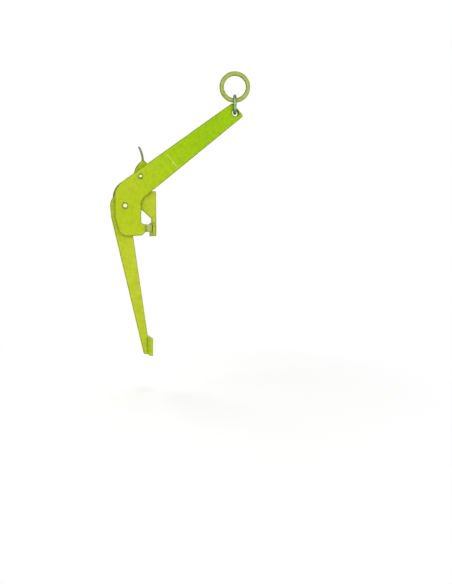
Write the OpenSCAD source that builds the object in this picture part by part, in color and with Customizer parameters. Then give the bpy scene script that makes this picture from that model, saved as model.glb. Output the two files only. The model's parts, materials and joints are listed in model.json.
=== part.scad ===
// Drum lifter: a rim clamp that carries an upright steel drum by its top edge.
// X runs from outside the drum towards its middle, Y along the rim, Z up.
// The origin is in the middle of the clamped wall, level with the top of the rim.

/* [Drum] */
// Radius of the drum wall that the two jaws are curved to
drum_r = 286; // [240:1:320]
// Gap between the two jaw faces as drawn
jaw_gap = 2.4; // [1.6:0.2:4]

/* [Pivot and eye] */
// Distance of the main pivot outside the drum wall
pivot_out = 80; // [78:1:88]
// Height of the main pivot above the rim
pivot_up = 36; // [33:1:42]
// Distance of the arm's eye inside the drum wall
eye_in = 274; // [250:1:300]
// Height of the arm's eye above the rim
eye_up = 335; // [310:1:360]
// Diameter of the eye
eye_d = 21; // [20:0.5:22]

/* [Lever] */
// Thickness of each cheek plate
cheek_t = 6; // [5:0.5:8]
// Clear width between the cheek plates at the head
cheek_gap = 36; // [34:1:44]
// Distance from the main pivot to the bend where the cheeks start to close in
bend_at = 200; // [190:1:230]
// Length of arm before the eye where the cheeks lie flat together
lap_len = 45; // [35:1:60]
// Distance from the main pivot to the back edge of the head
head_back = 30; // [26:1:34]
// Distance from the main pivot to the front edge of the head
head_front = 48.5; // [44:0.5:50]
// Distance from the main pivot down to the bottom edge of the head
head_drop = 92; // [88:1:98]
// Turn of the lever from closed to fully open, in degrees
lever_open = 22; // [21:1:22]
// Turn of the lever past the drawn pose to grip a thinner wall, in degrees
lever_close = 1.5; // [0.5:0.5:1.5]

/* [Outer jaw] */
// Depth of the outer jaw bar, from its back to the wall
jaw_depth = 16; // [14:1:18]
// Height of the outer jaw bar
jaw_h = 22; // [18:1:24]
// Distance of the bar's top below the rim
jaw_drop = 19; // [16:1:22]
// Length of both jaws along the rim
jaw_len = 60; // [54:2:90]

/* [Frame] */
// Thickness of the frame plate
frame_t = 12; // [10:1:16]
// Radius of the frame's round head
frame_head_r = 41; // [38:1:42]
// Distance from the main pivot down to the roof of the throat
roof_drop = 12; // [11:0.5:13]
// Distance from the main pivot in to the leg's front edge at the roof
leg_front = 15.5; // [14:0.5:18]
// Distance from the main pivot out to the leg's back edge at its bend
leg_back = 38.3; // [37:0.1:39]
// Height of the hook's top corner above the main pivot
hook_up = 47; // [42:1:48]
// Distance of the hook's inner edge inside the drum wall
hook_in = 18; // [16:1:26]
// Depth of the hook's nose below the rim
nose_drop = 54; // [48:1:70]
// Distance of the leg's lower end below the rim
leg_drop = 418; // [360:1:470]
// Width of the leg's lower end
leg_end_w = 12; // [10:1:20]

/* [Pads] */
// Thickness of the inner jaw pad
pad_t = 8; // [6:1:10]
// Distance of the inner jaw pad's top below the rim
pad_drop = 13; // [10:1:18]
// Thickness of the heel pad
heel_t = 10; // [8:1:14]
// Height of the heel pad
heel_h = 53; // [44:1:66]
// Width of the heel pad
heel_w = 72; // [56:2:100]

/* [Latch] */
// Distance of the latch pin inside the main pivot
latch_in = 47; // [45:1:48]
// Height of the latch pin above the main pivot
latch_up = 88.6; // [87:0.2:92]
// Thickness of the latch pawl
pawl_t = 10; // [8:1:12]
// Radius of the pawl's hub
hub_r = 14; // [12:0.5:15]
// Turn from level of the tooth's place on the frame's round head, in degrees
tooth_angle = 112; // [109:1:114]
// Width of the pawl's tooth
tooth_w = 6; // [5:0.5:7]
// Turn of the latch from just clear to seated in its notch, in degrees
latch_dip = 5; // [4:0.5:5]
// Radius of the curved thumb tab
tab_r = 88; // [80:1:110]
// Turn of the thumb tab along its curve, in degrees
tab_turn = 28; // [22:1:30]
// Thickness of the thumb tab
tab_t = 5; // [4:0.5:6]
// Width of the thumb tab
tab_w = 12; // [11:1:16]

/* [Pins] */
// Diameter of the main pivot pin
pivot_pin_d = 14; // [13:1:16]
// Outer diameter of the main pivot's bush
bush_d = 24; // [22:1:28]
// Thickness of each thrust washer
washer_t = 2; // [1.5:0.5:3]
// Diameter of the latch pin
latch_pin_d = 10; // [9:1:12]
// Outer diameter of the latch's bush and of its two spacers
spacer_d = 18; // [17:0.5:18.5]
// Diameter of the rod that spaces the cheeks
rod_d = 16; // [12:1:20]

/* [Spring] */
// Wire diameter of the latch spring
spring_wire = 2; // [1.6:0.2:2.2]
// Number of turns of the latch spring
spring_turns = 4; // [3:1:4]

/* [Link and ring] */
// Wire diameter of the chain link
link_wire = 11; // [10:0.5:11.5]
// Radius of the link's round ends, to the middle of its wire
link_r = 13.5; // [13.5:0.5:16]
// Distance from the eye's middle up to the middle of the ring's lowest wire
ring_lift = 40; // [39:1:50]
// Wire diameter of the lifting ring
ring_wire = 14; // [12:1:14]
// Radius of the lifting ring, to the middle of its wire
ring_r = 41.5; // [38:0.5:60]
// Turn of the link and the ring about the vertical, in degrees
hang_turn = -18; // [-20:1:0]

/* [Clearances] */
// Radial clearance of a pin in the piece that turns on it
running_fit = 0.05; // [0.02:0.01:0.1]
// Radial clearance of a pin or bush in the plate that holds it
seat_fit = 0.01; // [0.01:0.01:0.03]
// Side play of what turns between the cheeks
side_play = 0.3; // [0.2:0.1:0.5]
// Gap between moving pieces that bear on each other
touch_gap = 0.3; // [0.2:0.1:0.5]

/* [Hidden] */
$fn = 48;

lime = "#a4c911";
pale_lime = "#b6c832";
olive = "#98a84a";
zinc = "#c9cdc4";
dark_steel = "#4a4c4a";

// Places in the X-Z plane
pivot = [-pivot_out, pivot_up];
eye = [eye_in, eye_up];
latch_axis = pivot + [latch_in, latch_up];
outer_face = -jaw_gap / 2;
inner_face = jaw_gap / 2;
jaw_back = outer_face - jaw_depth;
heel_face = -1;
heel_back = heel_face - heel_t;
cheek_half = cheek_gap / 2;
lever_half = cheek_half + cheek_t;

// Directions and distances that the pivots set
arm_len = norm(eye - pivot);
arm_angle = atan2(eye[1] - pivot[1], eye[0] - pivot[0]);
tip_r = frame_head_r + touch_gap;
tooth_tip = pivot + tip_r * [cos(tooth_angle), sin(tooth_angle)];
tooth_reach = norm(latch_axis - tooth_tip);
pawl_angle = atan2(latch_axis[1] - tooth_tip[1], latch_axis[0] - tooth_tip[0]);
tooth_depth = tooth_reach * sin(latch_dip);

// Unit vector of a 2D vector
function unit(v) = v / norm(v);
// 2D point turned by an angle about the origin
function turned(p, a) = [p[0] * cos(a) - p[1] * sin(a), p[0] * sin(a) + p[1] * cos(a)];
// Point on a circle
function around(c, r, a) = c + r * [cos(a), sin(a)];

// Corner i of an outline, and the unit directions and half angle there
function spot(p, i) = [p[i][0], p[i][1]];
function ahead(p, i) = unit(spot(p, (i + 1) % len(p)) - spot(p, i));
function behind(p, i) = unit(spot(p, (i + len(p) - 1) % len(p)) - spot(p, i));
function half_angle(p, i) = acos(ahead(p, i) * behind(p, i)) / 2;
function is_convex(p, i) = cross(behind(p, i), ahead(p, i)) < 0;
// Each arc passes its sides by a hair, so that it crosses them cleanly
arc_past = 0.005;
function inset(p, i) = p[i][2] / tan(half_angle(p, i));
function arc_centre(p, i) =
    spot(p, i) + unit(ahead(p, i) + behind(p, i)) * (p[i][2] - arc_past) / sin(half_angle(p, i));
function arc_start(p, i) = spot(p, i) + behind(p, i) * inset(p, i);
function arc_end(p, i) = spot(p, i) + ahead(p, i) * inset(p, i);
function past(from, q) = q + unit(q - from) / 2;
function outline_points(p, i) =
    p[i][2] == 0 || is_convex(p, i) ? [spot(p, i)] : [arc_start(p, i), arc_end(p, i)];

// Tip of a corner, outside its arc
module corner_tip(p, i) {
    chord = (arc_start(p, i) + arc_end(p, i)) / 2;
    inner = chord + unit(arc_centre(p, i) - spot(p, i)) * min(1, p[i][2] / 4);
    difference() {
        polygon([
            inner, past(inner, arc_start(p, i)), past(inner, spot(p, i)), past(inner, arc_end(p, i))
        ]);
        translate(arc_centre(p, i)) circle(p[i][2]);
    }
}

// Outline of [x, z, radius] corners, counter-clockwise, with a true arc at each corner
module rounded_outline(p) {
    corners = [for (i = [0 : len(p) - 1]) if (p[i][2] > 0) i];
    difference() {
        polygon([for (i = [0 : len(p) - 1]) for (q = outline_points(p, i)) q]);
        for (i = corners)
            if (is_convex(p, i)) corner_tip(p, i);
            else translate(arc_centre(p, i)) circle(p[i][2]);
    }
}

// Plate cut to an X-Z outline, from one Y value over a thickness
module plate(y_low, thick) {
    translate([0, y_low + thick, 0]) rotate([90, 0, 0]) linear_extrude(thick) children();
}

// Round bar along Y at an X-Z place
module bar_y(at, d, y_low, y_high) {
    translate([at[0], y_high, at[1]]) rotate([90, 0, 0]) cylinder(d = d, h = y_high - y_low);
}

// Tube along Y at an X-Z place
module tube_y(at, outer, inner, y_low, y_high) {
    difference() {
        bar_y(at, outer, y_low, y_high);
        bar_y(at, inner, y_low - 1, y_high + 1);
    }
}

// Shape turned so that its axis lies along Y at an X-Z place
module along_y(at) {
    translate([at[0], 0, at[1]]) rotate([90, 0, 0]) children();
}

// Frame: hook, head and leg cut from one plate

roof_z = pivot_up - roof_drop;
// Turn from X at which the leg's back edge leaves the round head, and the depth of its bend
leg_angle = 184;
leg_bend = 33;
leg_bend_r = 60;
// Radius at which the outline's corners lie inside the round head
head_join_r = frame_head_r - 0.7;
// Where the throat's roof turns down, and the room that the rim has in the hook
roof_end = -22;
rim_room = 3;
frame_outline = [
    [heel_back - leg_end_w, -leg_drop, 4],
    [heel_back, -leg_drop, 0],
    [heel_back, heel_h - leg_drop, 0],
    [pivot[0] + leg_front, roof_z, 18],
    [roof_end, roof_z, 5],
    [inner_face + rim_room, 0, 3],
    [inner_face + rim_room, -pad_drop, 0],
    [inner_face + pad_t, -pad_drop, 0],
    [inner_face + pad_t, -nose_drop, 0],
    [hook_in, -nose_drop, 4],
    [hook_in, pivot[1] + hook_up, 3],
    concat(around(pivot, head_join_r, 90), 0),
    concat(around(pivot, head_join_r, leg_angle), 0),
    [pivot[0] - leg_back, pivot[1] - leg_bend, leg_bend_r]
];

// Notches: room beside and under the tooth, and more beside it where the lever can close further
notch_play = 1.8;
notch_half = tooth_w / 2 + notch_play;
close_travel = tip_r * sin(lever_close);

// Notch along the tooth's own way in, for the lever turned by an angle
module notch(turn, more) {
    translate(pivot) rotate(turn) translate(latch_axis - pivot) rotate(pawl_angle)
        translate([-tooth_reach - notch_half - more, -tooth_depth - notch_play])
            square([2 * notch_half + more, frame_head_r]);
}

module frame_plate() {
    color(pale_lime)
    difference() {
        plate(-frame_t / 2, frame_t) {
            difference() {
                union() {
                    rounded_outline(frame_outline);
                    translate(pivot) circle(frame_head_r);
                }
                notch(0, close_travel);
                notch(-lever_open, 0);
            }
        }
        bar_y(pivot, bush_d + 2 * seat_fit, -frame_t, frame_t);
    }
}

bush_half = cheek_half - washer_t - side_play;

module pivot_bush() {
    color(dark_steel)
    tube_y(pivot, bush_d, pivot_pin_d + 2 * running_fit, -bush_half, bush_half);
}

// Inner jaw pad, crowned to the inside of the drum wall
module hook_pad() {
    color(pale_lime)
    intersection() {
        translate([inner_face, -jaw_len / 2, -nose_drop]) cube([pad_t, jaw_len, nose_drop - pad_drop]);
        translate([drum_r, 0, -nose_drop - 1])
            cylinder(r = drum_r - inner_face, h = nose_drop, $fn = 180);
    }
}

// Heel pad: flat plate with rounded corners that leans on the drum wall
module heel_pad() {
    half = heel_w / 2;
    low = -leg_drop - 2;
    color(lime)
    translate([heel_back, 0, 0]) rotate([90, 0, 90]) linear_extrude(heel_t)
        rounded_outline([
            [-half, low, 6], [half, low, 6], [half, heel_h - leg_drop, 6], [-half, heel_h - leg_drop, 6]
        ]);
}

// Lever: two cheeks that close together towards the eye, and the outer jaw bar

jaw_low = -jaw_drop - jaw_h;
// Square end of the arm: its two corners, from the eye
end_past = 27.5;
end_under = 8;
end_before = 9.5;
end_over = 31;
end_low = eye + [end_past, -end_under];
end_high = eye + [-end_before, end_over];
// Back of the head from the main pivot, and the lip under the jaw bar from the bar's lower corner
head_rise = 54.5;
head_bend = 34;
foot_in = 14.5;
head_top = pivot + [-head_back, head_rise];
head_side = pivot + [-head_back, -head_bend];
head_foot = pivot + [foot_in - head_back, -head_drop];
head_top_r = 57;
head_side_r = 60;
head_foot_r = 28;
lip = [jaw_back - 12, jaw_low - 11];
// Front edge of the head: where it stands over the jaw bar, and where the arm's lower edge starts
head_x = pivot[0] + head_front;
front_low = [head_x, 3 - jaw_drop];
front_high = [head_x, pivot[1] + 18];
cheek_outline = [
    concat(end_low, 7), concat(end_high, 8),
    concat(head_top, head_top_r), concat(head_side, head_side_r),
    concat(head_foot, head_foot_r), concat(lip, 8),
    [jaw_back, jaw_low, 2], [jaw_back, -jaw_drop, 2],
    concat(front_low, 6), concat(front_high, 30)
];

// Side of the lever seen from above: straight at the head, bent twice to lie on the middle plane
module bent_sheet() {
    meet = arm_len - lap_len;
    far = arm_len + lap_len;
    translate([pivot[0], 0, pivot[1]]) rotate([0, -arm_angle, 0])
        translate([0, 0, -arm_len]) linear_extrude(2 * arm_len)
            polygon([
                [-arm_len, cheek_half], [bend_at, cheek_half], [meet, 0], [far, 0],
                [far, cheek_t], [meet, cheek_t], [bend_at, lever_half], [-arm_len, lever_half]
            ]);
}

module far_cheek_shape() {
    difference() {
        intersection() {
            plate(-1, lever_half + 2) rounded_outline(cheek_outline);
            bent_sheet();
        }
        bar_y(pivot, pivot_pin_d + 2 * seat_fit, 0, lever_half + 1);
        bar_y(latch_axis, latch_pin_d + 2 * seat_fit, 0, lever_half + 1);
        bar_y(eye, eye_d, -1, lever_half + 1);
    }
}

module far_cheek() {
    color(lime) far_cheek_shape();
}

module near_cheek() {
    color(lime) mirror([0, 1, 0]) far_cheek_shape();
}

// Outer jaw bar, hollowed to the outside of the drum wall
module jaw_bar() {
    bevel = 8;
    face_room = drum_r - sqrt(pow(drum_r - outer_face, 2) - jaw_len * jaw_len / 4) + 1;
    color(olive)
    difference() {
        plate(-jaw_len / 2, jaw_len)
            rounded_outline([
                [jaw_back, jaw_low + bevel, 2], [jaw_back + bevel, jaw_low, 2],
                [face_room, jaw_low, 0], [face_room, -jaw_drop, 0], [jaw_back, -jaw_drop, 0]
            ]);
        translate([drum_r, 0, jaw_low - 1]) cylinder(r = drum_r - outer_face, h = jaw_h + 2, $fn = 180);
    }
}

// Rod welded between the cheeks, short of their bend
rod_back = 28;
rod_at = around(pivot, bend_at - rod_back, arm_angle + 4);

module cheek_rod() {
    color(lime) bar_y(rod_at, rod_d, -cheek_half, cheek_half);
}

// Pins, their retaining rings, and what spaces them

ring_t = 1.2;
pin_over = 3;
groove_cut = 0.8;
chamfer = 1.5;

// Headless pin with a groove near each end, its axis on Z
module grooved_pin(d) {
    r = d / 2;
    end = lever_half + ring_t + pin_over;
    rotate_extrude()
        polygon([
            [0, -end], [r - chamfer, -end], [r, chamfer - end], [r, -lever_half - ring_t],
            [r - groove_cut, -lever_half - ring_t], [r - groove_cut, -lever_half], [r, -lever_half],
            [r, lever_half], [r - groove_cut, lever_half], [r - groove_cut, lever_half + ring_t],
            [r, lever_half + ring_t], [r, end - chamfer], [r - chamfer, end], [0, end]
        ]);
}

// Open retaining ring with two eyed ends, flat on the X-Y plane
module open_ring(d) {
    inner = d / 2 - groove_cut + seat_fit;
    outer = d / 2 + 2.4;
    gap = 24;
    lug_r = 2.2;
    hole_r = 0.9;
    hole_at = outer + hole_r + 0.25;
    lug_angle = gap / 2 + 14;
    difference() {
        union() {
            rotate(gap / 2 - 90) rotate_extrude(angle = 360 - gap)
                translate([inner, 0]) square([outer - inner, ring_t]);
            for (side = [-1, 1])
                rotate(side * lug_angle - 90) translate([outer + 0.5, 0])
                    cylinder(r = lug_r, h = ring_t);
        }
        for (side = [-1, 1])
            rotate(side * lug_angle - 90) translate([hole_at, 0, -1])
                cylinder(r = hole_r, h = ring_t + 2);
    }
}

module ring_pair(at, d) {
    along_y(at) translate([0, 0, lever_half]) open_ring(d);
    along_y(at) translate([0, 0, -lever_half - ring_t]) open_ring(d);
}

module pivot_pin() {
    color(zinc) along_y(pivot) grooved_pin(pivot_pin_d);
}

module pivot_pin_rings() {
    color(dark_steel) ring_pair(pivot, pivot_pin_d);
}

module thrust_washers() {
    color(zinc)
    for (low = [-cheek_half, cheek_half - washer_t])
        tube_y(pivot, bush_d + 10, pivot_pin_d + 2 * running_fit, low, low + washer_t);
}

module latch_pin() {
    color(zinc) along_y(latch_axis) grooved_pin(latch_pin_d);
}

module latch_pin_rings() {
    color(dark_steel) ring_pair(latch_axis, latch_pin_d);
}

hub_half = pawl_t / 2 + 0.2;

module latch_spacers() {
    inner = latch_pin_d + 2 * running_fit;
    color(zinc) {
        tube_y(latch_axis, spacer_d, inner, -cheek_half, -hub_half - side_play);
        tube_y(latch_axis, spacer_d, inner, hub_half + side_play, cheek_half);
    }
}

// Latch: pawl with a tooth for the frame's notches, and a thumb tab on its neck

module latch_bush() {
    color(zinc) tube_y(latch_axis, spacer_d, latch_pin_d + 2 * running_fit, -hub_half, hub_half);
}

// Point of the pawl from its own axes: along the pawl away from the tooth, and out from the head
function pawl_spot(along, out, r) = concat(latch_axis + turned([along, out], pawl_angle), r);

// Length of the spring's legs, and radius of its coil; the pawl's back lies just under one leg
leg_len = 42;
coil_r = spacer_d / 2 + spring_wire / 2 + 1;
back_rise = 5;
back_out = coil_r - spring_wire / 2 - touch_gap;
// Foot of the thumb tab from the latch pin, and the turn from X at which the tab starts
tab_foot = [12, 47];
tab_low = 2;
tab_centre = latch_axis + tab_foot - [tab_r, 0];
// Height over the head's circle at a place along the pawl, in the pawl's axes
function tip_out(along) =
    let (q = turned(latch_axis + turned([along, 0], pawl_angle) - pivot, -pawl_angle))
    sqrt(tip_r * tip_r - q[0] * q[0]) - q[1];

// Sides, root and outer end of the tooth, and the height of the pawl's back
tooth_out = -tooth_reach - tooth_w / 2;
tooth_in = -tooth_reach + tooth_w / 2;
tooth_root = tooth_depth + 3;
hook_end = tooth_out - 3;
function back_at(along) = back_out / cos(back_rise) - along * tan(back_rise);

// Corner of the flare under the thumb tab, from the latch pin
function flare_spot(x, z, r) = concat(latch_axis + [x, z], r);

pawl_outline = [
    pawl_spot(tooth_out, tip_out(tooth_out), 0.8),
    pawl_spot(tooth_in, tip_out(tooth_in), 0.8),
    pawl_spot(tooth_in, tooth_root, 2),
    pawl_spot(-tooth_reach / 2, 0, 24),
    pawl_spot(-8, 1 - hub_r, 4),
    pawl_spot(10, 2 - hub_r, 6),
    flare_spot(28.4, 38.2, 5),
    flare_spot(21.3, 45.4, 5),
    concat(around(tab_centre, tab_r + tab_t / 2, tab_low), 0),
    concat(around(tab_centre, tab_r - tab_t / 2, tab_low), 0),
    flare_spot(-0.5, 41.5, 20),
    flare_spot(-9.8, 28.5, 14),
    flare_spot(-15.5, 12, 6),
    pawl_spot(-24, back_at(-24), 12),
    pawl_spot(-leg_len - 6, back_at(-leg_len - 6), 20),
    pawl_spot(hook_end, tooth_root + 3, 2),
    pawl_spot(hook_end, tooth_root, 1),
    pawl_spot(tooth_out, tooth_root, 0.8)
];

module latch_pawl() {
    color(lime)
    difference() {
        plate(-pawl_t / 2, pawl_t) {
            rounded_outline(pawl_outline);
            translate(latch_axis) circle(hub_r);
        }
        bar_y(latch_axis, spacer_d + 2 * seat_fit, -pawl_t, pawl_t);
    }
}

// Strip bent to an arc, narrower towards its rounded tip
module thumb_tab() {
    half = tab_w / 2;
    tip_half = half / 2;
    tip_z = tab_r * sin(tab_low + tab_turn);
    color(olive)
    translate([tab_centre[0], 0, tab_centre[1]])
    intersection() {
        rotate([90, 0, 0]) rotate(tab_low) rotate_extrude(angle = tab_turn)
            translate([tab_r - tab_t / 2, -half]) square([tab_t, tab_w]);
        rotate([90, 0, 90]) linear_extrude(tab_r + tab_t)
            rounded_outline([
                [-half, -1, 0], [half, -1, 0],
                [tip_half, tip_z, tip_half - 1], [-tip_half, tip_z, tip_half - 1]
            ]);
    }
}

// Torsion spring beside the pawl: one leg bent over the pawl's back, the other on a stud

coil_near = hub_half + side_play + spring_wire / 2 + 0.6;
coil_pitch = spring_wire + 0.2;
coil_far = coil_near + coil_pitch * spring_turns;
stud_d = 6;
stud_at = pawl_spot(leg_len - 6, coil_r - spring_wire / 2 - touch_gap - stud_d / 2, 0);

module spring_stud() {
    color(zinc) bar_y(stud_at, stud_d, coil_far - spring_wire, cheek_half);
}

// Spring point: place along and out from the latch axis in the pawl's axes, and its Y
function spring_spot(along, out, y) =
    let (q = latch_axis + turned([along, out], pawl_angle)) [q[0], y, q[1]];

steps_per_turn = 20;
back_leg = turned([-leg_len, coil_r], -back_rise);
coil_sweep = 360 * spring_turns - back_rise;
coil_steps = steps_per_turn * spring_turns;
spring_path = concat(
    [for (y = [1 - pawl_t / 2, coil_near]) spring_spot(back_leg[0], back_leg[1], y)],
    [for (k = [0 : coil_steps])
        let (
            a = 90 - back_rise - coil_sweep * k / coil_steps,
            y = coil_near + coil_pitch * spring_turns * k / coil_steps
        )
        spring_spot(coil_r * cos(a), coil_r * sin(a), y)],
    [spring_spot(leg_len, coil_r, coil_far)]
);

// Round wire swept along a path as one closed skin
module wire(path, d, sides) {
    n = len(path);
    dirs = [for (i = [0 : n - 1]) unit(path[min(i + 1, n - 1)] - path[max(i - 1, 0)])];
    rings = [for (i = [0 : n - 1])
        let (
            side = unit(cross(dirs[i], abs(dirs[i][1]) > 0.8 ? [0.3, 0, 1] : [0, 1, 0])),
            other = cross(side, dirs[i])
        )
        [for (k = [0 : sides - 1])
            let (a = 360 * k / sides)
            path[i] + d / 2 * (side * cos(a) + other * sin(a))]
    ];
    polyhedron(
        points = [for (ring = rings) for (q = ring) q],
        faces = concat(
            [[for (k = [0 : sides - 1]) k]],
            [for (i = [0 : n - 2]) for (k = [0 : sides - 1])
                let (this = i * sides, that = this + sides, turn = (k + 1) % sides)
                [this + k, that + k, that + turn, this + turn]],
            [[for (k = [sides - 1 : -1 : 0]) (n - 1) * sides + k]]
        ));
}

module latch_spring() {
    color(zinc) wire(spring_path, spring_wire, 8);
}

// Chain link through the eye, and the lifting ring in it

ring_low = eye[1] + ring_lift;
// Lean of the link's wire where it leaves the eye, and the highest corner of the slanting cut there,
// with some room for the wire's own curve
crown_lean = asin(cheek_t / cos(hang_turn) / link_r);
crown_sag = link_r * (1 - cos(crown_lean));
cut_long = link_wire / 2 / cos(crown_lean) / cos(hang_turn);
cut_dir = unit([sin(abs(hang_turn)) * cos(crown_lean), sin(crown_lean)]);
cut_corner = [cheek_t * tan(abs(hang_turn)), 0] + cut_long * cut_dir;
eye_room = sqrt(pow(eye_d / 2 - touch_gap, 2) - cut_corner[0] * cut_corner[0]);
curve_room = 0.7;
link_low = eye[1] + eye_room - cut_corner[1] - crown_sag - curve_room;
link_high = ring_low + ring_wire / 2 + touch_gap + link_wire / 2;

// Half of the link: a round end with its two legs below it
module link_half(leg) {
    rotate([90, 0, 90]) rotate_extrude(angle = 180) translate([link_r, 0]) circle(d = link_wire);
    for (side = [-1, 1])
        translate([0, side * link_r, -leg]) cylinder(d = link_wire, h = leg);
}

module chain_link() {
    low_centre = link_low + link_r;
    high_centre = link_high - link_r;
    leg = 0.6 * (high_centre - low_centre);
    color(zinc)
    translate([eye[0], 0, 0]) rotate([0, 0, hang_turn]) {
        translate([0, 0, high_centre]) link_half(leg);
        translate([0, 0, low_centre]) mirror([0, 0, 1]) link_half(leg);
    }
}

module lifting_ring() {
    color(olive)
    translate([eye[0], 0, ring_low + ring_r]) rotate([0, 0, hang_turn]) rotate([90, 0, 0])
        rotate_extrude() translate([ring_r, 0]) circle(d = ring_wire);
}

frame_plate();
pivot_bush();
hook_pad();
heel_pad();
near_cheek();
far_cheek();
jaw_bar();
cheek_rod();
pivot_pin();
pivot_pin_rings();
thrust_washers();
latch_pin();
latch_pin_rings();
latch_spacers();
spring_stud();
latch_spring();
latch_pawl();
thumb_tab();
latch_bush();
chain_link();
lifting_ring();
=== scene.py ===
# %% [markdown]
# # Rim clamp: from a bare CAD model to a finished picture
# The imported model is a lifting clamp. A bent lever of two cheek plates pulls a curved jaw against a
# hooked frame, whose long leg ends in a heel pad. It comes in as plain grey solids, one object for each
# piece. The lesson adds what a drawing leaves out: the camera, the light, soft edges, welds, and paint
# that has seen some work.
# Nothing here moves or reshapes the loaded pieces. New pieces and finishes are added to them.

# %% Load the imported model
import json
import math
import random
import bmesh
import bpy
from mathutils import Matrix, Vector


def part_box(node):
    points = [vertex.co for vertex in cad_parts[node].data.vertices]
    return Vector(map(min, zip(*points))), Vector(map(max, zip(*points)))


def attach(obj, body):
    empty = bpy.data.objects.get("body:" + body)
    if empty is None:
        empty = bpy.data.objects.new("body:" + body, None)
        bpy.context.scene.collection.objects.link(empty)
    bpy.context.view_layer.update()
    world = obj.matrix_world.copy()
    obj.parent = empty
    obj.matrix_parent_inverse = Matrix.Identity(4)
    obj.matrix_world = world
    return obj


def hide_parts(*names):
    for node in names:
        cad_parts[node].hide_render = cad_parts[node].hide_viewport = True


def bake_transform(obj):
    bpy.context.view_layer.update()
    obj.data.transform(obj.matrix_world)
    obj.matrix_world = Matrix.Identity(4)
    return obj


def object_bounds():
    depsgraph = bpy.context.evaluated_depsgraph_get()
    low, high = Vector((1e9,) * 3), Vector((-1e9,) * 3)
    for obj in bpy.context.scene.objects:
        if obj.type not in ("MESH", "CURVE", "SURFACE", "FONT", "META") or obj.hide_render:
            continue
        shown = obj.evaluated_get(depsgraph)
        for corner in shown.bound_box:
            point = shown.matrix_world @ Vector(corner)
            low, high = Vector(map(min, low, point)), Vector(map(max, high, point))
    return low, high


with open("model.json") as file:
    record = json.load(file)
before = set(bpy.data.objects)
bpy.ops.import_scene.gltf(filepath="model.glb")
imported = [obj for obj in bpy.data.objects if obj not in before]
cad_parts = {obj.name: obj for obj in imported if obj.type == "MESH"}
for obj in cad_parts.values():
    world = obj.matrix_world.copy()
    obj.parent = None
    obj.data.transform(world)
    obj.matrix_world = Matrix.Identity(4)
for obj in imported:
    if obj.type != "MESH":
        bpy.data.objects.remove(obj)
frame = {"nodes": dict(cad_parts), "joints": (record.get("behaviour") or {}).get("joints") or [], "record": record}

nodes = frame["nodes"]
cad_low, cad_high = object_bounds()
print("pieces loaded:", len(nodes), "size in metres:", [round(v, 3) for v in cad_high - cad_low])

# %% [markdown]
# ## Camera
# The clamp is seen from a little outside its jaws, almost level. The turn, the dip and the lens come
# from fitting straight and round edges of known size, so they are set here as plain numbers and not
# judged by eye. Blender's sensor width belongs to the longer side of the picture, which is its height.

# %% Camera
CAMERA_LENS = 38.1
CAMERA_SENSOR = 36.0
CAMERA_PLACE = (-0.3678, -1.8852, -0.091)
CAMERA_DIP = math.radians(4.05)
CAMERA_TURN = math.radians(-18)
camera_data = bpy.data.cameras.new("photo_camera")
camera_data.lens = CAMERA_LENS
camera_data.sensor_width = CAMERA_SENSOR
camera = bpy.data.objects.new("photo_camera", camera_data)
camera.location = CAMERA_PLACE
camera.rotation_euler = (math.radians(90) - CAMERA_DIP, 0, CAMERA_TURN)
bpy.context.scene.collection.objects.link(camera)
bpy.context.scene.camera = camera
bpy.context.scene.view_settings.view_transform = "Standard"
print("camera:", CAMERA_LENS, "mm, at", CAMERA_PLACE)

# %% [markdown]
# ## Helpers for node trees
# A finish in Blender is a tree of shader nodes. A few small helpers keep the trees readable. `add_node`
# adds a node and fills in its sockets by name, `join` links two sockets, and `feed` takes a socket or a
# plain value. `fresh_material` starts an empty material, and `to_surface` ends one.


# %% Helpers for node trees
def add_node(tree, kind, settings=None, sockets=None):
    made = tree.nodes.new(kind)
    for key, value in (settings or {}).items():
        setattr(made, key, value)
    for key, value in (sockets or {}).items():
        made.inputs[key].default_value = value
    return made


def join(tree, out_socket, in_socket):
    tree.links.new(out_socket, in_socket)


def feed(tree, value, socket):
    if isinstance(value, bpy.types.NodeSocket):
        join(tree, value, socket)
    else:
        socket.default_value = value


def fresh_material(name):
    material = bpy.data.materials.new(name)
    material.use_nodes = True
    material.node_tree.nodes.clear()
    return material, material.node_tree


def to_surface(tree, shader):
    join(tree, shader.outputs[0], add_node(tree, "ShaderNodeOutputMaterial").inputs["Surface"])


# %% [markdown]
# Numbers that vary over a surface pass through a second set. `arithmetic` combines two numbers, and
# `times`, `plus` and `larger` are its common uses. `fade` turns a range of values into a soft step from
# 0 to 1, and works downwards too. `vector_math` combines places or normals, and `part_of` picks one of
# their coordinates.


# %% Helpers for numbers and places
def arithmetic(tree, operation, first, second=0.0):
    made = add_node(tree, "ShaderNodeMath", {"operation": operation})
    feed(tree, first, made.inputs[0])
    feed(tree, second, made.inputs[1])
    return made.outputs[0]


def times(tree, first, second):
    return arithmetic(tree, "MULTIPLY", first, second)


def plus(tree, first, second):
    return arithmetic(tree, "ADD", first, second)


def larger(tree, first, second):
    return arithmetic(tree, "MAXIMUM", first, second)


def fade(tree, value, start, end):
    made = add_node(tree, "ShaderNodeMapRange", {"interpolation_type": "SMOOTHSTEP"})
    feed(tree, value, made.inputs["Value"])
    made.inputs["From Min"].default_value = start
    made.inputs["From Max"].default_value = end
    return made.outputs["Result"]


def vector_math(tree, operation, first, second=(0, 0, 0)):
    made = add_node(tree, "ShaderNodeVectorMath", {"operation": operation})
    feed(tree, first, made.inputs[0])
    feed(tree, second, made.inputs[1])
    return made.outputs


def part_of(tree, vector, axis):
    made = add_node(tree, "ShaderNodeSeparateXYZ")
    join(tree, vector, made.inputs["Vector"])
    return made.outputs[axis]


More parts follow.
